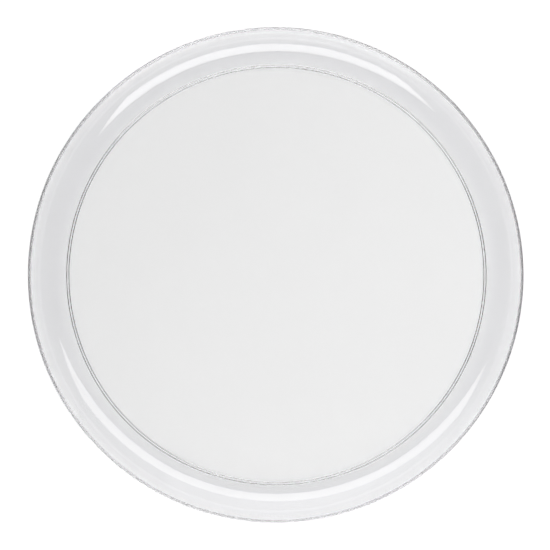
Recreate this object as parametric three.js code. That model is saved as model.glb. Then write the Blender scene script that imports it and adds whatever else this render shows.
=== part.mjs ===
// A round, shallow tray for a dresser top, in clear plastic, moulded in one piece.
// A flat floor runs out to a foot ring, and a coved wall sweeps up from there to a rounded rim.
// Millimetres, +Z up. The origin is on the tray's axis, in the plane that the foot ring stands on.
import * as THREE from 'three';

// Driving dimensions
const RIM_DIAMETER = 305;         // across the outside of the rim, the widest part
const COVE_RADIUS = 22.5;         // of the hollow side of the wall
const WALL_RISE_ANGLE = 70;       // degrees from level, how steep the wall is where it meets the rim
const WALL_THICKNESS = 2.0;
const FLOOR_THICKNESS = 2.2;
const FOOT_HEIGHT = 1.2;          // the floor's underside stands this far off the table
const FOOT_FLAT_WIDTH = 1.0;      // of the ring of flat plastic that touches the table
const FOOT_LEAN = 0.45;           // each side of the foot slopes by this much, so that it leaves the mould
const FOOT_OUTSET = 1.0;          // the foot's outer side is this far outside the start of the cove
const GATE_WELL_RADIUS = 2.2;     // shallow well under the middle of the floor, where the plastic flowed in
const GATE_WELL_DEPTH = 0.35;
const GATE_WELL_LEAN = 0.35;      // how far the well's side slopes outwards
const GATE_STUB_RADIUS = 0.8;     // what is left of the broken-off sprue, inside the well
const GATE_STUB_HEIGHT = 0.25;

// How finely the curves are cut into flats
const TURN_STEPS = 96;
const COVE_STEPS = 10;
const RIM_STEPS = 6;

const CLEAR_PLASTIC = { color: 0xeef3f8, roughness: 0.06, metalness: 0, transparent: true, opacity: 0.3 };

const rimRadius = WALL_THICKNESS / 2;
const floorUnderside = FOOT_HEIGHT;
const floorTop = FOOT_HEIGHT + FLOOR_THICKNESS;

// The wall is two arcs about one centre, and the rim is a half circle that joins their upper ends.
// The outermost point of the rim is on RIM_DIAMETER, which places the centre of the arcs.
const level = -Math.PI / 2;
const steepest = level + THREE.MathUtils.degToRad(WALL_RISE_ANGLE);
const wallMiddleRadius = COVE_RADIUS + rimRadius;
const undersideRadius = COVE_RADIUS + WALL_THICKNESS;
const coveCentre = new THREE.Vector2(
  RIM_DIAMETER / 2 - rimRadius - wallMiddleRadius * Math.cos(steepest),
  floorTop + COVE_RADIUS,
);
const rimCentre = new THREE.Vector2(Math.cos(steepest), Math.sin(steepest))
  .multiplyScalar(wallMiddleRadius)
  .add(coveCentre);

// Points of a profile, each a radius and a height. Angles turn from the radius towards the height.
function arc(centre, radius, from, to, steps) {
  const points = [];
  for (let step = 0; step <= steps; step++) {
    const angle = from + (to - from) * step / steps;
    points.push(new THREE.Vector2(centre.x + radius * Math.cos(angle), centre.y + radius * Math.sin(angle)));
  }
  return points;
}

// The stub of the sprue stands in a well, and is too short to reach the floor's underside.
function gateMark() {
  const wellTop = floorUnderside + GATE_WELL_DEPTH;
  const stubEnd = wellTop - GATE_STUB_HEIGHT;
  return [
    new THREE.Vector2(0, stubEnd),
    new THREE.Vector2(GATE_STUB_RADIUS, stubEnd),
    new THREE.Vector2(GATE_STUB_RADIUS, wellTop),
    new THREE.Vector2(GATE_WELL_RADIUS, wellTop),
    new THREE.Vector2(GATE_WELL_RADIUS + GATE_WELL_LEAN, floorUnderside),
  ];
}

// The inner side and the flat of the foot, and then the wall's underside, which the foot's outer side runs up to.
function footAndUnderside() {
  const outerTop = coveCentre.x + FOOT_OUTSET;
  const outerFlat = outerTop - FOOT_LEAN;
  const innerFlat = outerFlat - FOOT_FLAT_WIDTH;
  const undersideStart = -Math.acos(FOOT_OUTSET / undersideRadius);
  return [
    new THREE.Vector2(innerFlat - FOOT_LEAN, floorUnderside),
    new THREE.Vector2(innerFlat, 0),
    new THREE.Vector2(outerFlat, 0),
    ...arc(coveCentre, undersideRadius, undersideStart, steepest, COVE_STEPS),
  ];
}

// The half circle from the underside's end to the cove's, without those two points.
function rim() {
  return arc(rimCentre, rimRadius, steepest, steepest + Math.PI, RIM_STEPS).slice(1, -1);
}

function coveAndFloor() {
  return [
    ...arc(coveCentre, COVE_RADIUS, steepest, level, COVE_STEPS),
    new THREE.Vector2(0, floorTop),
  ];
}

// The section goes along the underside, round the rim and back over the floor, and is turned about the axis.
function trayGeometry() {
  const section = [...gateMark(), ...footAndUnderside(), ...rim(), ...coveAndFloor()];
  return new THREE.LatheGeometry(section, TURN_STEPS).rotateX(Math.PI / 2);
}

const tray = new THREE.Mesh(trayGeometry(), new THREE.MeshStandardMaterial(CLEAR_PLASTIC));
tray.name = 'tray';

const vanityTray = new THREE.Group();
vanityTray.add(tray);

export default vanityTray;
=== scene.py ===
# %% [markdown]
# # A clear plastic tray, turned from its outline
#
# The tray is one moulding of clear polystyrene: a flat floor, a foot ring under the floor's edge, a coved
# wall and a rounded rim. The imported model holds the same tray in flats. This script loads it as a fixed
# frame, turns a finer tray on the same sizes, gives it a clear plastic finish, and sets up a white light
# table, two long lamps and a camera overhead. Everything is in metres, and the tray stands at height zero.

# %% Load the frame
import math

import bpy
from mathutils import Matrix, Vector


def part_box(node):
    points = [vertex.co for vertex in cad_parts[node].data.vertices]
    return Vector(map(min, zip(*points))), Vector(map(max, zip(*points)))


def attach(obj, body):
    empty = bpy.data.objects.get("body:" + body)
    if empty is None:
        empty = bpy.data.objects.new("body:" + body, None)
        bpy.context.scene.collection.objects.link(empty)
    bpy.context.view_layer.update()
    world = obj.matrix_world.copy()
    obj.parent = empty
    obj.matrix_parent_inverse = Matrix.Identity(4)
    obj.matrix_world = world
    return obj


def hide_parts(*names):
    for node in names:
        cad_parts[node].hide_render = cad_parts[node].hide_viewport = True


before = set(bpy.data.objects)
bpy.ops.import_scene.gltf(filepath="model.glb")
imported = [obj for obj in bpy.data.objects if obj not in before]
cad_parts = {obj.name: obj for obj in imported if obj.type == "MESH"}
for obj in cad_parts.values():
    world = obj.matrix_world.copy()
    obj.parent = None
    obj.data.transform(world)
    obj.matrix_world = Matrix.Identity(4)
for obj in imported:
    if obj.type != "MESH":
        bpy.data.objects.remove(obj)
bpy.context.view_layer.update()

tray_low, tray_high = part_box("tray")
bpy.ops.object.select_all(action="DESELECT")
print("tray from", [round(x, 4) for x in tray_low], "to", [round(x, 4) for x in tray_high])

# %% [markdown]
# ## The camera
#
# The tray is seen from almost straight above, as in a catalogue. A long lens far away keeps the foot ring
# and the rim nearly concentric, and a small step to the right of the axis shows the wall a little more on
# one side. The camera has no depth of field, so that everything is sharp.

# %% Camera overhead
CAMERA_DISTANCE = 1.85
CAMERA_LEAN = math.radians(1.9)
FRAME_HALF_WIDTH = 0.1690
SENSOR_WIDTH_MM = 36.0
NEAREST_SEEN = 0.01
FARTHEST_SEEN = 50.0

tray_middle = Vector((0.0, 0.0, tray_high.z))
camera_away = Vector((math.sin(CAMERA_LEAN), 0.0, math.cos(CAMERA_LEAN))) * CAMERA_DISTANCE
camera_data = bpy.data.cameras.new("overhead_camera")
camera_data.sensor_width = SENSOR_WIDTH_MM
camera_data.lens = SENSOR_WIDTH_MM / 2 * CAMERA_DISTANCE / FRAME_HALF_WIDTH
camera_data.clip_start = NEAREST_SEEN
camera_data.clip_end = FARTHEST_SEEN
camera = bpy.data.objects.new("overhead_camera", camera_data)
camera.location = tray_middle + camera_away
camera.rotation_euler = (0.0, CAMERA_LEAN, 0.0)
bpy.context.scene.collection.objects.link(camera)
bpy.context.scene.camera = camera
print("lens", round(camera_data.lens), "mm, camera at", [round(x, 3) for x in camera.location])

# %% [markdown]
# ## The tray's outline
#
# A round moulding is easiest to make the way a potter's wheel makes it: draw half of the section once, and
# turn it about the axis. A cylinder with bevels would also give a tray, but the cove, the foot and the rim
# would each need their own edit, and their sizes would be hard to read. The sizes below are those of the
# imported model, except that the gate's well has gentler sides and a lower stub, and that corners are
# rounded. Steep sides would mirror the room and draw a sharp ring, and the mark of a real gate is faint.

# %% Sizes of the section
RIM_RADIUS = 0.1525
COVE_RADIUS = 0.0225
WALL_RISE = math.radians(70)
WALL_THICKNESS = 0.0020
FLOOR_THICKNESS = 0.0022
FOOT_HEIGHT = 0.0012
FOOT_FLAT_WIDTH = 0.0010
FOOT_LEAN = 0.00045
FOOT_OUTSET = 0.0010
GATE_WELL_RADIUS = 0.0022
GATE_WELL_DEPTH = 0.00035
GATE_WELL_LEAN = 0.0009
GATE_STUB_RADIUS = 0.0008
GATE_STUB_HEIGHT = 0.00012

floor_top = FOOT_HEIGHT + FLOOR_THICKNESS
lip_radius = WALL_THICKNESS / 2
level = -math.pi / 2
steepest = level + WALL_RISE
wall_middle = COVE_RADIUS + lip_radius
cove_centre = Vector((RIM_RADIUS - lip_radius - wall_middle * math.cos(steepest), floor_top + COVE_RADIUS))
lip_centre = cove_centre + wall_middle * Vector((math.cos(steepest), math.sin(steepest)))
print("the cove starts at radius", round(cove_centre.x, 4))
print("the rim is", round(lip_centre.y + lip_radius, 4), "high")

# %% [markdown]
# The outline is drawn as by hand in edit mode. The pen is one vertex. A straight stretch extrudes it to the
# next point, and a round stretch spins it about the arc's centre, so that an arc has exactly the radius
# that it should. Each straight stretch gets a point close to either end. Smooth shading blends the
# directions of the faces that meet, and those points keep the blend within a hair of the corner, so that
# flats stay flat to the eye.

# %% A pen that draws with one vertex
HAIR = 0.0002
NIB = 0.001


def start_pen(start):
    bpy.ops.mesh.primitive_plane_add(size=NIB)
    bpy.ops.object.mode_set(mode="EDIT")
    bpy.ops.mesh.select_all(action="SELECT")
    bpy.ops.mesh.merge(type="CENTER")
    bpy.ops.transform.translate(value=(start.x, 0, start.y))
    return start


def step_to(pen, end):
    step = end - pen
    bpy.ops.mesh.extrude_region_move(TRANSFORM_OT_translate={"value": (step.x, 0, step.y)})
    return end


def straight_to(pen, end):
    along = end - pen
    hair = along.normalized() * min(HAIR, along.length / 4)
    pen = step_to(pen, pen + hair)
    pen = step_to(pen, end - hair)
    return step_to(pen, end)


def arc_about(pen, centre, turn, steps):
    bpy.ops.mesh.spin(steps=steps, angle=turn, center=(centre.x, 0, centre.y), axis=(0, 1, 0))
    out = pen - centre
    out.rotate(Matrix.Rotation(turn, 2))
    return centre + out


# %% [markdown]
# Sharp corners don't come out of a mould. A corner is drawn as a straight stretch that stops short of it,
# and a small arc that leaves in the direction of the next stretch.

# %% Rounded corners
CORNER_STEPS = 6


def corner_at(pen, corner, towards, radius):
    before = (corner - pen).normalized()
    after = (towards - corner).normalized()
    turn = math.atan2(before.x * after.y - before.y * after.x, before.dot(after))
    side = Vector((-before.y, before.x)) * math.copysign(radius, turn)
    start = corner - before * radius * math.tan(abs(turn) / 2)
    pen = straight_to(pen, start)
    return arc_about(pen, start + side, turn, CORNER_STEPS)


# %% [markdown]
# The pen starts on the axis, at the end of the stub that was the way in for the plastic, and goes round the
# section anticlockwise: along the underside, over the foot ring, up the outside of the wall, round the rim,
# down the cove and back along the floor to the axis.

# %% Where the gate and the foot are
well_top = FOOT_HEIGHT + GATE_WELL_DEPTH
stub_end = well_top - GATE_STUB_HEIGHT
foot_outer_root = cove_centre.x + FOOT_OUTSET
foot_outer = foot_outer_root - FOOT_LEAN
foot_inner = foot_outer - FOOT_FLAT_WIDTH
underside_radius = COVE_RADIUS + WALL_THICKNESS
underside_start = -math.acos(FOOT_OUTSET / underside_radius)
root = cove_centre + underside_radius * Vector((math.cos(underside_start), math.sin(underside_start)))
along_wall = root + HAIR * Vector((-math.sin(underside_start), math.cos(underside_start)))
print("the foot stands between radius", round(foot_inner, 5), "and", round(foot_outer, 5))

# %% [markdown]
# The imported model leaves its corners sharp. Here those of the gate are nearly sharp, and those of the foot
# are well rounded, like the foot that a ray trace of its section picked for the photo's two dark lines. Two
# corners on one stretch must leave some of it straight, or the outline folds over itself, so a corner's
# radius is smaller than half of the stub's height.

# %% Corners in the order of the pen
GATE_CORNER = 0.00005
FOOT_ROOT_CORNER = 0.0005
FOOT_TIP_CORNER = 0.00055

corners = [
    (Vector((GATE_STUB_RADIUS, stub_end)), GATE_CORNER),
    (Vector((GATE_STUB_RADIUS, well_top)), GATE_CORNER),
    (Vector((GATE_WELL_RADIUS, well_top)), GATE_CORNER),
    (Vector((GATE_WELL_RADIUS + GATE_WELL_LEAN, FOOT_HEIGHT)), GATE_CORNER),
    (Vector((foot_inner - FOOT_LEAN, FOOT_HEIGHT)), FOOT_ROOT_CORNER),
    (Vector((foot_inner, 0)), FOOT_TIP_CORNER),
    (Vector((foot_outer, 0)), FOOT_TIP_CORNER),
    (root, FOOT_ROOT_CORNER),
]
ahead = [corner for corner, _ in corners[1:]] + [along_wall]
print("the pen turns", len(corners), "corners before the wall")

# %% Draw the section
WALL_STEPS = 36
LIP_STEPS = 16

pen = start_pen(Vector((0, stub_end)))
for (corner, radius), towards in zip(corners, ahead):
    pen = corner_at(pen, corner, towards, radius)
so_far = math.atan2(pen.y - cove_centre.y, pen.x - cove_centre.x)
pen = arc_about(pen, cove_centre, steepest - so_far, WALL_STEPS)
pen = arc_about(pen, lip_centre, math.pi, LIP_STEPS)
pen = arc_about(pen, cove_centre, -WALL_RISE, WALL_STEPS)
pen = straight_to(pen, Vector((0, floor_top)))
bpy.ops.object.mode_set(mode="OBJECT")
tray = bpy.context.object
print("the section has", len(tray.data.vertices), "points and ends at", [round(x, 5) for x in pen])

# %% [markdown]
# ## Turning the section
#
# One spin about the axis makes the tray. The points on the axis come out many times in the same place, so
# doubles are merged, and then the faces are turned to point outwards, because a spin doesn't promise that.

# %% Spin the tray
TURN_STEPS = 512
DOUBLE = 0.000001

bpy.ops.object.mode_set(mode="EDIT")
bpy.ops.mesh.select_all(action="SELECT")
bpy.ops.mesh.spin(steps=TURN_STEPS, angle=2 * math.pi, center=(0, 0, 0), axis=(0, 0, 1))
bpy.ops.mesh.select_all(action="SELECT")
bpy.ops.mesh.remove_doubles(threshold=DOUBLE)
bpy.ops.mesh.normals_make_consistent(inside=False)
bpy.ops.object.mode_set(mode="OBJECT")
bpy.ops.object.shade_smooth()
tray.name = "clear_tray"
tray.data.name = "clear_tray"
print("the tray has", len(tray.data.polygons), "faces")

# %% [markdown]
# ## Clear plastic
#
# The tray is clear polystyrene, polished on both sides. Everything that can be seen of it is bent or
# mirrored light, so the finish is one Principled shader with full transmission and the plastic's own index
# of refraction, which is higher than that of acrylic. A mixture with a transparent shader would render
# faster, but it would lose the dark and light lines that the foot and the rim draw, because those are light
# that is caught inside the plastic.
#
# Polystyrene is nearly colourless. The grey here is deeper than the real one, so that the tray stands out
# from the white table; the extra is painted shade on the table seen through the floor. It is one ramp over
# the
# distance from the axis: grey on the floor, a trace of lilac and a little more painted shade in the wall,
# and painted light on the rim, which is lighter. The ramp is fixed to the object, so it stays in place from
# any side.

# %% A range that runs smoothly
def smooth_range(tree, value, start, end, at_start, at_end):
    node = tree.nodes.new("ShaderNodeMapRange")
    node.interpolation_type = "SMOOTHSTEP"
    node.inputs["From Min"].default_value = start
    node.inputs["From Max"].default_value = end
    node.inputs["To Min"].default_value = at_start
    node.inputs["To Max"].default_value = at_end
    tree.links.new(value, node.inputs["Value"])
    return node.outputs["Result"]


# %% Polystyrene
PLASTIC_IOR = 1.59

plastic = bpy.data.materials.new("clear_polystyrene")
plastic.use_nodes = True
moulding = plastic.node_tree
glass = moulding.nodes["Principled BSDF"]
glass.inputs["IOR"].default_value = PLASTIC_IOR
glass.inputs["Transmission Weight"].default_value = 1.0
tray.data.materials.append(plastic)
mirrored = ((PLASTIC_IOR - 1) / (PLASTIC_IOR + 1)) ** 2
print("each side of the plastic mirrors", round(mirrored, 3), "of the light")

# %% Distance from the axis
on_tray = moulding.nodes.new("ShaderNodeTexCoord").outputs["Object"]
flattened = moulding.nodes.new("ShaderNodeVectorMath")
flattened.operation = "MULTIPLY"
flattened.inputs[1].default_value = (1, 1, 0)
moulding.links.new(on_tray, flattened.inputs[0])
from_axis = moulding.nodes.new("ShaderNodeVectorMath")
from_axis.operation = "LENGTH"
moulding.links.new(flattened.outputs["Vector"], from_axis.inputs[0])
print("the distance runs from 0 to", RIM_RADIUS, "at the rim")

# %% Tint with painted shade and painted light, from the floor to the rim
TINT_AND_SHADE_BLEND = 0.012
# The floor's grey, deeper than the plastic's own: painted shade on the table seen through it.
FLOOR_TINT_AND_PAINTED_SHADE = (0.808, 0.808, 0.808, 1)
# The wall's lilac tint, a little darker than the floor: painted shade.
WALL_TINT_AND_PAINTED_SHADE = (0.784, 0.784, 0.794, 1)
# The rim's lighter tint: painted light.
RIM_TINT_AND_PAINTED_LIGHT = (0.88, 0.88, 0.895, 1)
RIM_START = 0.1507

to_share = moulding.nodes.new("ShaderNodeMath")
to_share.operation = "DIVIDE"
to_share.inputs[1].default_value = RIM_RADIUS
moulding.links.new(from_axis.outputs["Value"], to_share.inputs[0])
# The ramp carries the tint with the painted shade of floor and wall and the painted light of the rim.
tint_and_painted_shading = moulding.nodes.new("ShaderNodeValToRGB")
stops = tint_and_painted_shading.color_ramp.elements
stops[0].position = (cove_centre.x - TINT_AND_SHADE_BLEND / 2) / RIM_RADIUS
stops[0].color = FLOOR_TINT_AND_PAINTED_SHADE
stops[1].position = 1.0
stops[1].color = RIM_TINT_AND_PAINTED_LIGHT
for reach in ((cove_centre.x + TINT_AND_SHADE_BLEND / 2) / RIM_RADIUS, RIM_START / RIM_RADIUS):
    stops.new(reach).color = WALL_TINT_AND_PAINTED_SHADE
moulding.links.new(to_share.outputs["Value"], tint_and_painted_shading.inputs["Fac"])
moulding.links.new(tint_and_painted_shading.outputs["Color"], glass.inputs["Base Color"])
print("the tint's stops are at", [round(stop.position * RIM_RADIUS, 4) for stop in stops])

# %% [markdown]
# A moulded tray is polished, but not perfect. Handling leaves patches that are a little less glossy, and
# the plastic keeps faint rings where it flowed outwards from the gate in the middle. The patches are a
# cloudy noise on the roughness. The rings are a wave about the axis, bent by distortion so that they aren't
# a pattern, and they go to the bump with a height of about a thousandth of a millimetre. They are kept that
# low so that the lamps keep clean edges in the wall.

# %% Worn gloss
WORN_SCALE = 35.0
WORN_DETAIL = 4.0
WORN_FROM = 0.35
WORN_TO = 0.75
WORN_ROUGHNESS = 0.02

wear = moulding.nodes.new("ShaderNodeTexNoise")
wear.inputs["Scale"].default_value = WORN_SCALE
wear.inputs["Detail"].default_value = WORN_DETAIL
moulding.links.new(on_tray, wear.inputs["Vector"])
dulled = smooth_range(moulding, wear.outputs["Fac"], WORN_FROM, WORN_TO, 0, WORN_ROUGHNESS)
print("a worn patch is about", round(1000 / WORN_SCALE), "mm across")

# %% [markdown]
# The rim is where the tray is picked up and where trays rub when they are stacked, so it is duller than the
# rest. The dullness is also meant to soften the fine lines in the lip. The roughness grows over the lip
# only, by the same distance from the axis that the tint uses.

# %% Rubbed rim
RIM_ROUGHNESS = 0.35

rubbed = smooth_range(moulding, from_axis.outputs["Value"], RIM_START, RIM_RADIUS, 0, RIM_ROUGHNESS)
dulled_rim = moulding.nodes.new("ShaderNodeMath")
dulled_rim.operation = "ADD"
moulding.links.new(dulled, dulled_rim.inputs[0])
moulding.links.new(rubbed, dulled_rim.inputs[1])
moulding.links.new(dulled_rim.outputs["Value"], glass.inputs["Roughness"])
print("the rim is rubbed from radius", RIM_START)

# %% Flow rings
RING_SCALE = 14.0
RING_DISTORTION = 2.5
RING_HEIGHT = 0.0000012

rings = moulding.nodes.new("ShaderNodeTexWave")
rings.wave_type = "RINGS"
rings.rings_direction = "Z"
rings.inputs["Scale"].default_value = RING_SCALE
rings.inputs["Distortion"].default_value = RING_DISTORTION
moulding.links.new(on_tray, rings.inputs["Vector"])
relief = moulding.nodes.new("ShaderNodeBump")
relief.inputs["Strength"].default_value = 1.0
relief.inputs["Distance"].default_value = RING_HEIGHT
moulding.links.new(rings.outputs["Fac"], relief.inputs["Height"])
moulding.links.new(relief.outputs["Normal"], glass.inputs["Normal"])
print("the flow rings are", RING_HEIGHT * 1000, "mm high")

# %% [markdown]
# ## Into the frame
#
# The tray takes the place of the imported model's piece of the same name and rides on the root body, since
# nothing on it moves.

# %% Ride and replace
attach(tray, "root")
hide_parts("tray")
print("this tray is", [round(x, 4) for x in tray.dimensions])
print("the packed tray is", [round(x, 4) for x in tray_high - tray_low])

# %% [markdown]
# ## The light table
#
# A clear object is photographed on something that shines through it. A plain sheet under two lamps would
# need such strong lamps for a pure white that the tray would be full of glare, so the sheet glows as well.
# It glows a little more towards the right, and the rest of its light comes from the lamps. The sheet is
# left out of the list of lamps that Cycles aims at, because it is large and soft, and paths find it by
# themselves.

# %% Sheet
SHEET_SIDE = 12
SHEET_DROP = 0.0001

bpy.ops.object.select_all(action="DESELECT")
bpy.ops.mesh.primitive_plane_add(size=SHEET_SIDE, location=(0, 0, -SHEET_DROP))
sheet = bpy.context.object
sheet.name = "light_table"
print("the sheet is", SHEET_SIDE, "m square")

# %% Glowing paper
SHEET_WHITE = (0.9, 0.9, 0.9, 1)
GLOW_WHITE = (1, 1, 1, 1)

paper = bpy.data.materials.new("glowing_paper")
paper.use_nodes = True
fibre = paper.node_tree
paper_surface = fibre.nodes["Principled BSDF"]
paper_surface.inputs["Base Color"].default_value = SHEET_WHITE
paper_surface.inputs["Roughness"].default_value = 1.0
paper_surface.inputs["Specular IOR Level"].default_value = 0.0
paper_surface.inputs["Emission Color"].default_value = GLOW_WHITE
paper.cycles.emission_sampling = "NONE"
sheet.data.materials.append(paper)
print("the paper returns", SHEET_WHITE[0], "of the light that falls on it")

# %% Glow across the sheet
GLOW_LEFT = 0.52
GLOW_RIGHT = 0.58
GLOW_REACH = 0.2

on_sheet = fibre.nodes.new("ShaderNodeTexCoord").outputs["Object"]
along_sheet = fibre.nodes.new("ShaderNodeSeparateXYZ")
fibre.links.new(on_sheet, along_sheet.inputs["Vector"])
glow = smooth_range(fibre, along_sheet.outputs["X"], -GLOW_REACH, GLOW_REACH, GLOW_LEFT, GLOW_RIGHT)
fibre.links.new(glow, paper_surface.inputs["Emission Strength"])
print("the glow runs from", GLOW_LEFT, "to", GLOW_RIGHT)

# %% [markdown]
# ## Two long lamps
#
# The wall of the tray is a curved mirror, and it shows one long soft light as a curved band. There are two
# bands, on the sides of the wall that face each other, so there are two lamps, one beyond each. A softbox
# is placed by what the wall sees of it: how far out and how high its near and far edges are, how far it
# runs to both sides, and the bearing that it stands on, anticlockwise from +X. Its power follows from how
# bright its surface should look.

# %% A softbox on a bearing
UP = Vector((0, 0, 1))


def softbox(name, bearing, sides, near, far, radiance):
    out = Vector((math.cos(bearing), math.sin(bearing), 0))
    along = Vector((-math.sin(bearing), math.cos(bearing), 0))
    near_edge = out * near[0] + UP * near[1]
    far_edge = out * far[0] + UP * far[1]
    down = far_edge - near_edge
    lamp_data = bpy.data.lights.new(name, "AREA")
    lamp_data.shape = "RECTANGLE"
    lamp_data.size = sides[1] - sides[0]
    lamp_data.size_y = down.length
    lamp_data.energy = radiance * math.pi * lamp_data.size * lamp_data.size_y
    lamp = bpy.data.objects.new(name, lamp_data)
    facing = down.cross(along).normalized()
    if facing.z > 0:
        facing.negate()
    turned = Matrix((along, facing.cross(along), -facing)).transposed().to_4x4()
    turned.translation = (near_edge + far_edge) / 2 + along * sum(sides) / 2
    lamp.matrix_world = turned
    bpy.context.scene.collection.objects.link(lamp)
    print(name, "has", round(lamp_data.energy), "W and is", round(lamp_data.size, 2), "m long")


# %% Place the south lamp
SOUTH_BEARING = math.radians(280)
SOUTH_SIDES = (-0.82, 0.46)
SOUTH_NEAR = (0.55, 0.75)
SOUTH_FAR = (0.85, 0.42)
SOUTH_RADIANCE = 2.5

softbox("south_softbox", SOUTH_BEARING, SOUTH_SIDES, SOUTH_NEAR, SOUTH_FAR, SOUTH_RADIANCE)

# %% Place the north lamp
NORTH_BEARING = math.radians(84)
NORTH_SIDES = (-0.88, 1.30)
NORTH_NEAR = (0.36, 0.96)
NORTH_FAR = (0.74, 0.73)
NORTH_RADIANCE = 1.85

softbox("north_softbox", NORTH_BEARING, NORTH_SIDES, NORTH_NEAR, NORTH_FAR, NORTH_RADIANCE)

# %% [markdown]
# ## The room
#
# The clear edges of the tray need something dark to bend into view, or they would vanish, so the room is
# dim, and a little less dim to the left. Low down it turns pale, because the table runs out to a pale
# wall. Straight above, a small soft patch is the light that falls past the camera; the floor mirrors it as
# a faint gleam.

# %% Room by direction
ROOM_LEFT = 0.14
ROOM_RIGHT = 0.05
PALE_WALL = 0.55
PALE_UP_TO = 0.05
PALE_GONE_AT = 0.12

world = bpy.data.worlds.new("dim_studio")
bpy.context.scene.world = world
world.use_nodes = True
room = world.node_tree
towards = room.nodes.new("ShaderNodeTexCoord").outputs["Generated"]
compass = room.nodes.new("ShaderNodeSeparateXYZ")
room.links.new(towards, compass.inputs["Vector"])
dim = smooth_range(room, compass.outputs["X"], -1, 1, ROOM_LEFT, ROOM_RIGHT)
pale = smooth_range(room, compass.outputs["Z"], PALE_UP_TO, PALE_GONE_AT, PALE_WALL, 0)
print("the room is", ROOM_LEFT, "to the left and", ROOM_RIGHT, "to the right")

# %% Patch overhead
PATCH_BRIGHT = 0.22
PATCH_TOWARDS = (0.03, -0.05, 1.0)
PATCH_FULL = 0.065
PATCH_END = 0.15

off_patch = room.nodes.new("ShaderNodeVectorMath")
off_patch.operation = "DISTANCE"
off_patch.inputs[1].default_value = Vector(PATCH_TOWARDS).normalized()
room.links.new(towards, off_patch.inputs[0])
patch = smooth_range(room, off_patch.outputs["Value"], PATCH_FULL, PATCH_END, PATCH_BRIGHT, 0)
print("the patch fades out", round(math.degrees(PATCH_END)), "degrees from its middle")

# %% Add the three together
room_light = dim
for part in (pale, patch):
    together = room.nodes.new("ShaderNodeMath")
    together.operation = "ADD"
    room.links.new(room_light, together.inputs[0])
    room.links.new(part, together.inputs[1])
    room_light = together.outputs["Value"]
room.links.new(room_light, room.nodes["Background"].inputs["Color"])
print("the room has", len(room.nodes), "nodes")

# %% [markdown]
# ## Light caught in the plastic
#
# Light that enters the rim is mirrored inside it again and again before it comes out, and Cycles counts
# every mirror as a bounce. A path that reaches the limit ends black, so the limits are far above the usual
# ones. Cycles also blurs sharp reflections that follow soft ones, which would lose the light that comes
# through the tray and lands on the table; that blur is switched off. The plain view transform keeps the
# white of the table white.

# %% Bounces and tones
BOUNCES = 128

scene = bpy.context.scene
scene.cycles.max_bounces = BOUNCES
scene.cycles.glossy_bounces = BOUNCES
scene.cycles.transmission_bounces = BOUNCES
scene.cycles.blur_glossy = 0.0
scene.view_settings.view_transform = "Standard"
print("light may bounce", BOUNCES, "times")
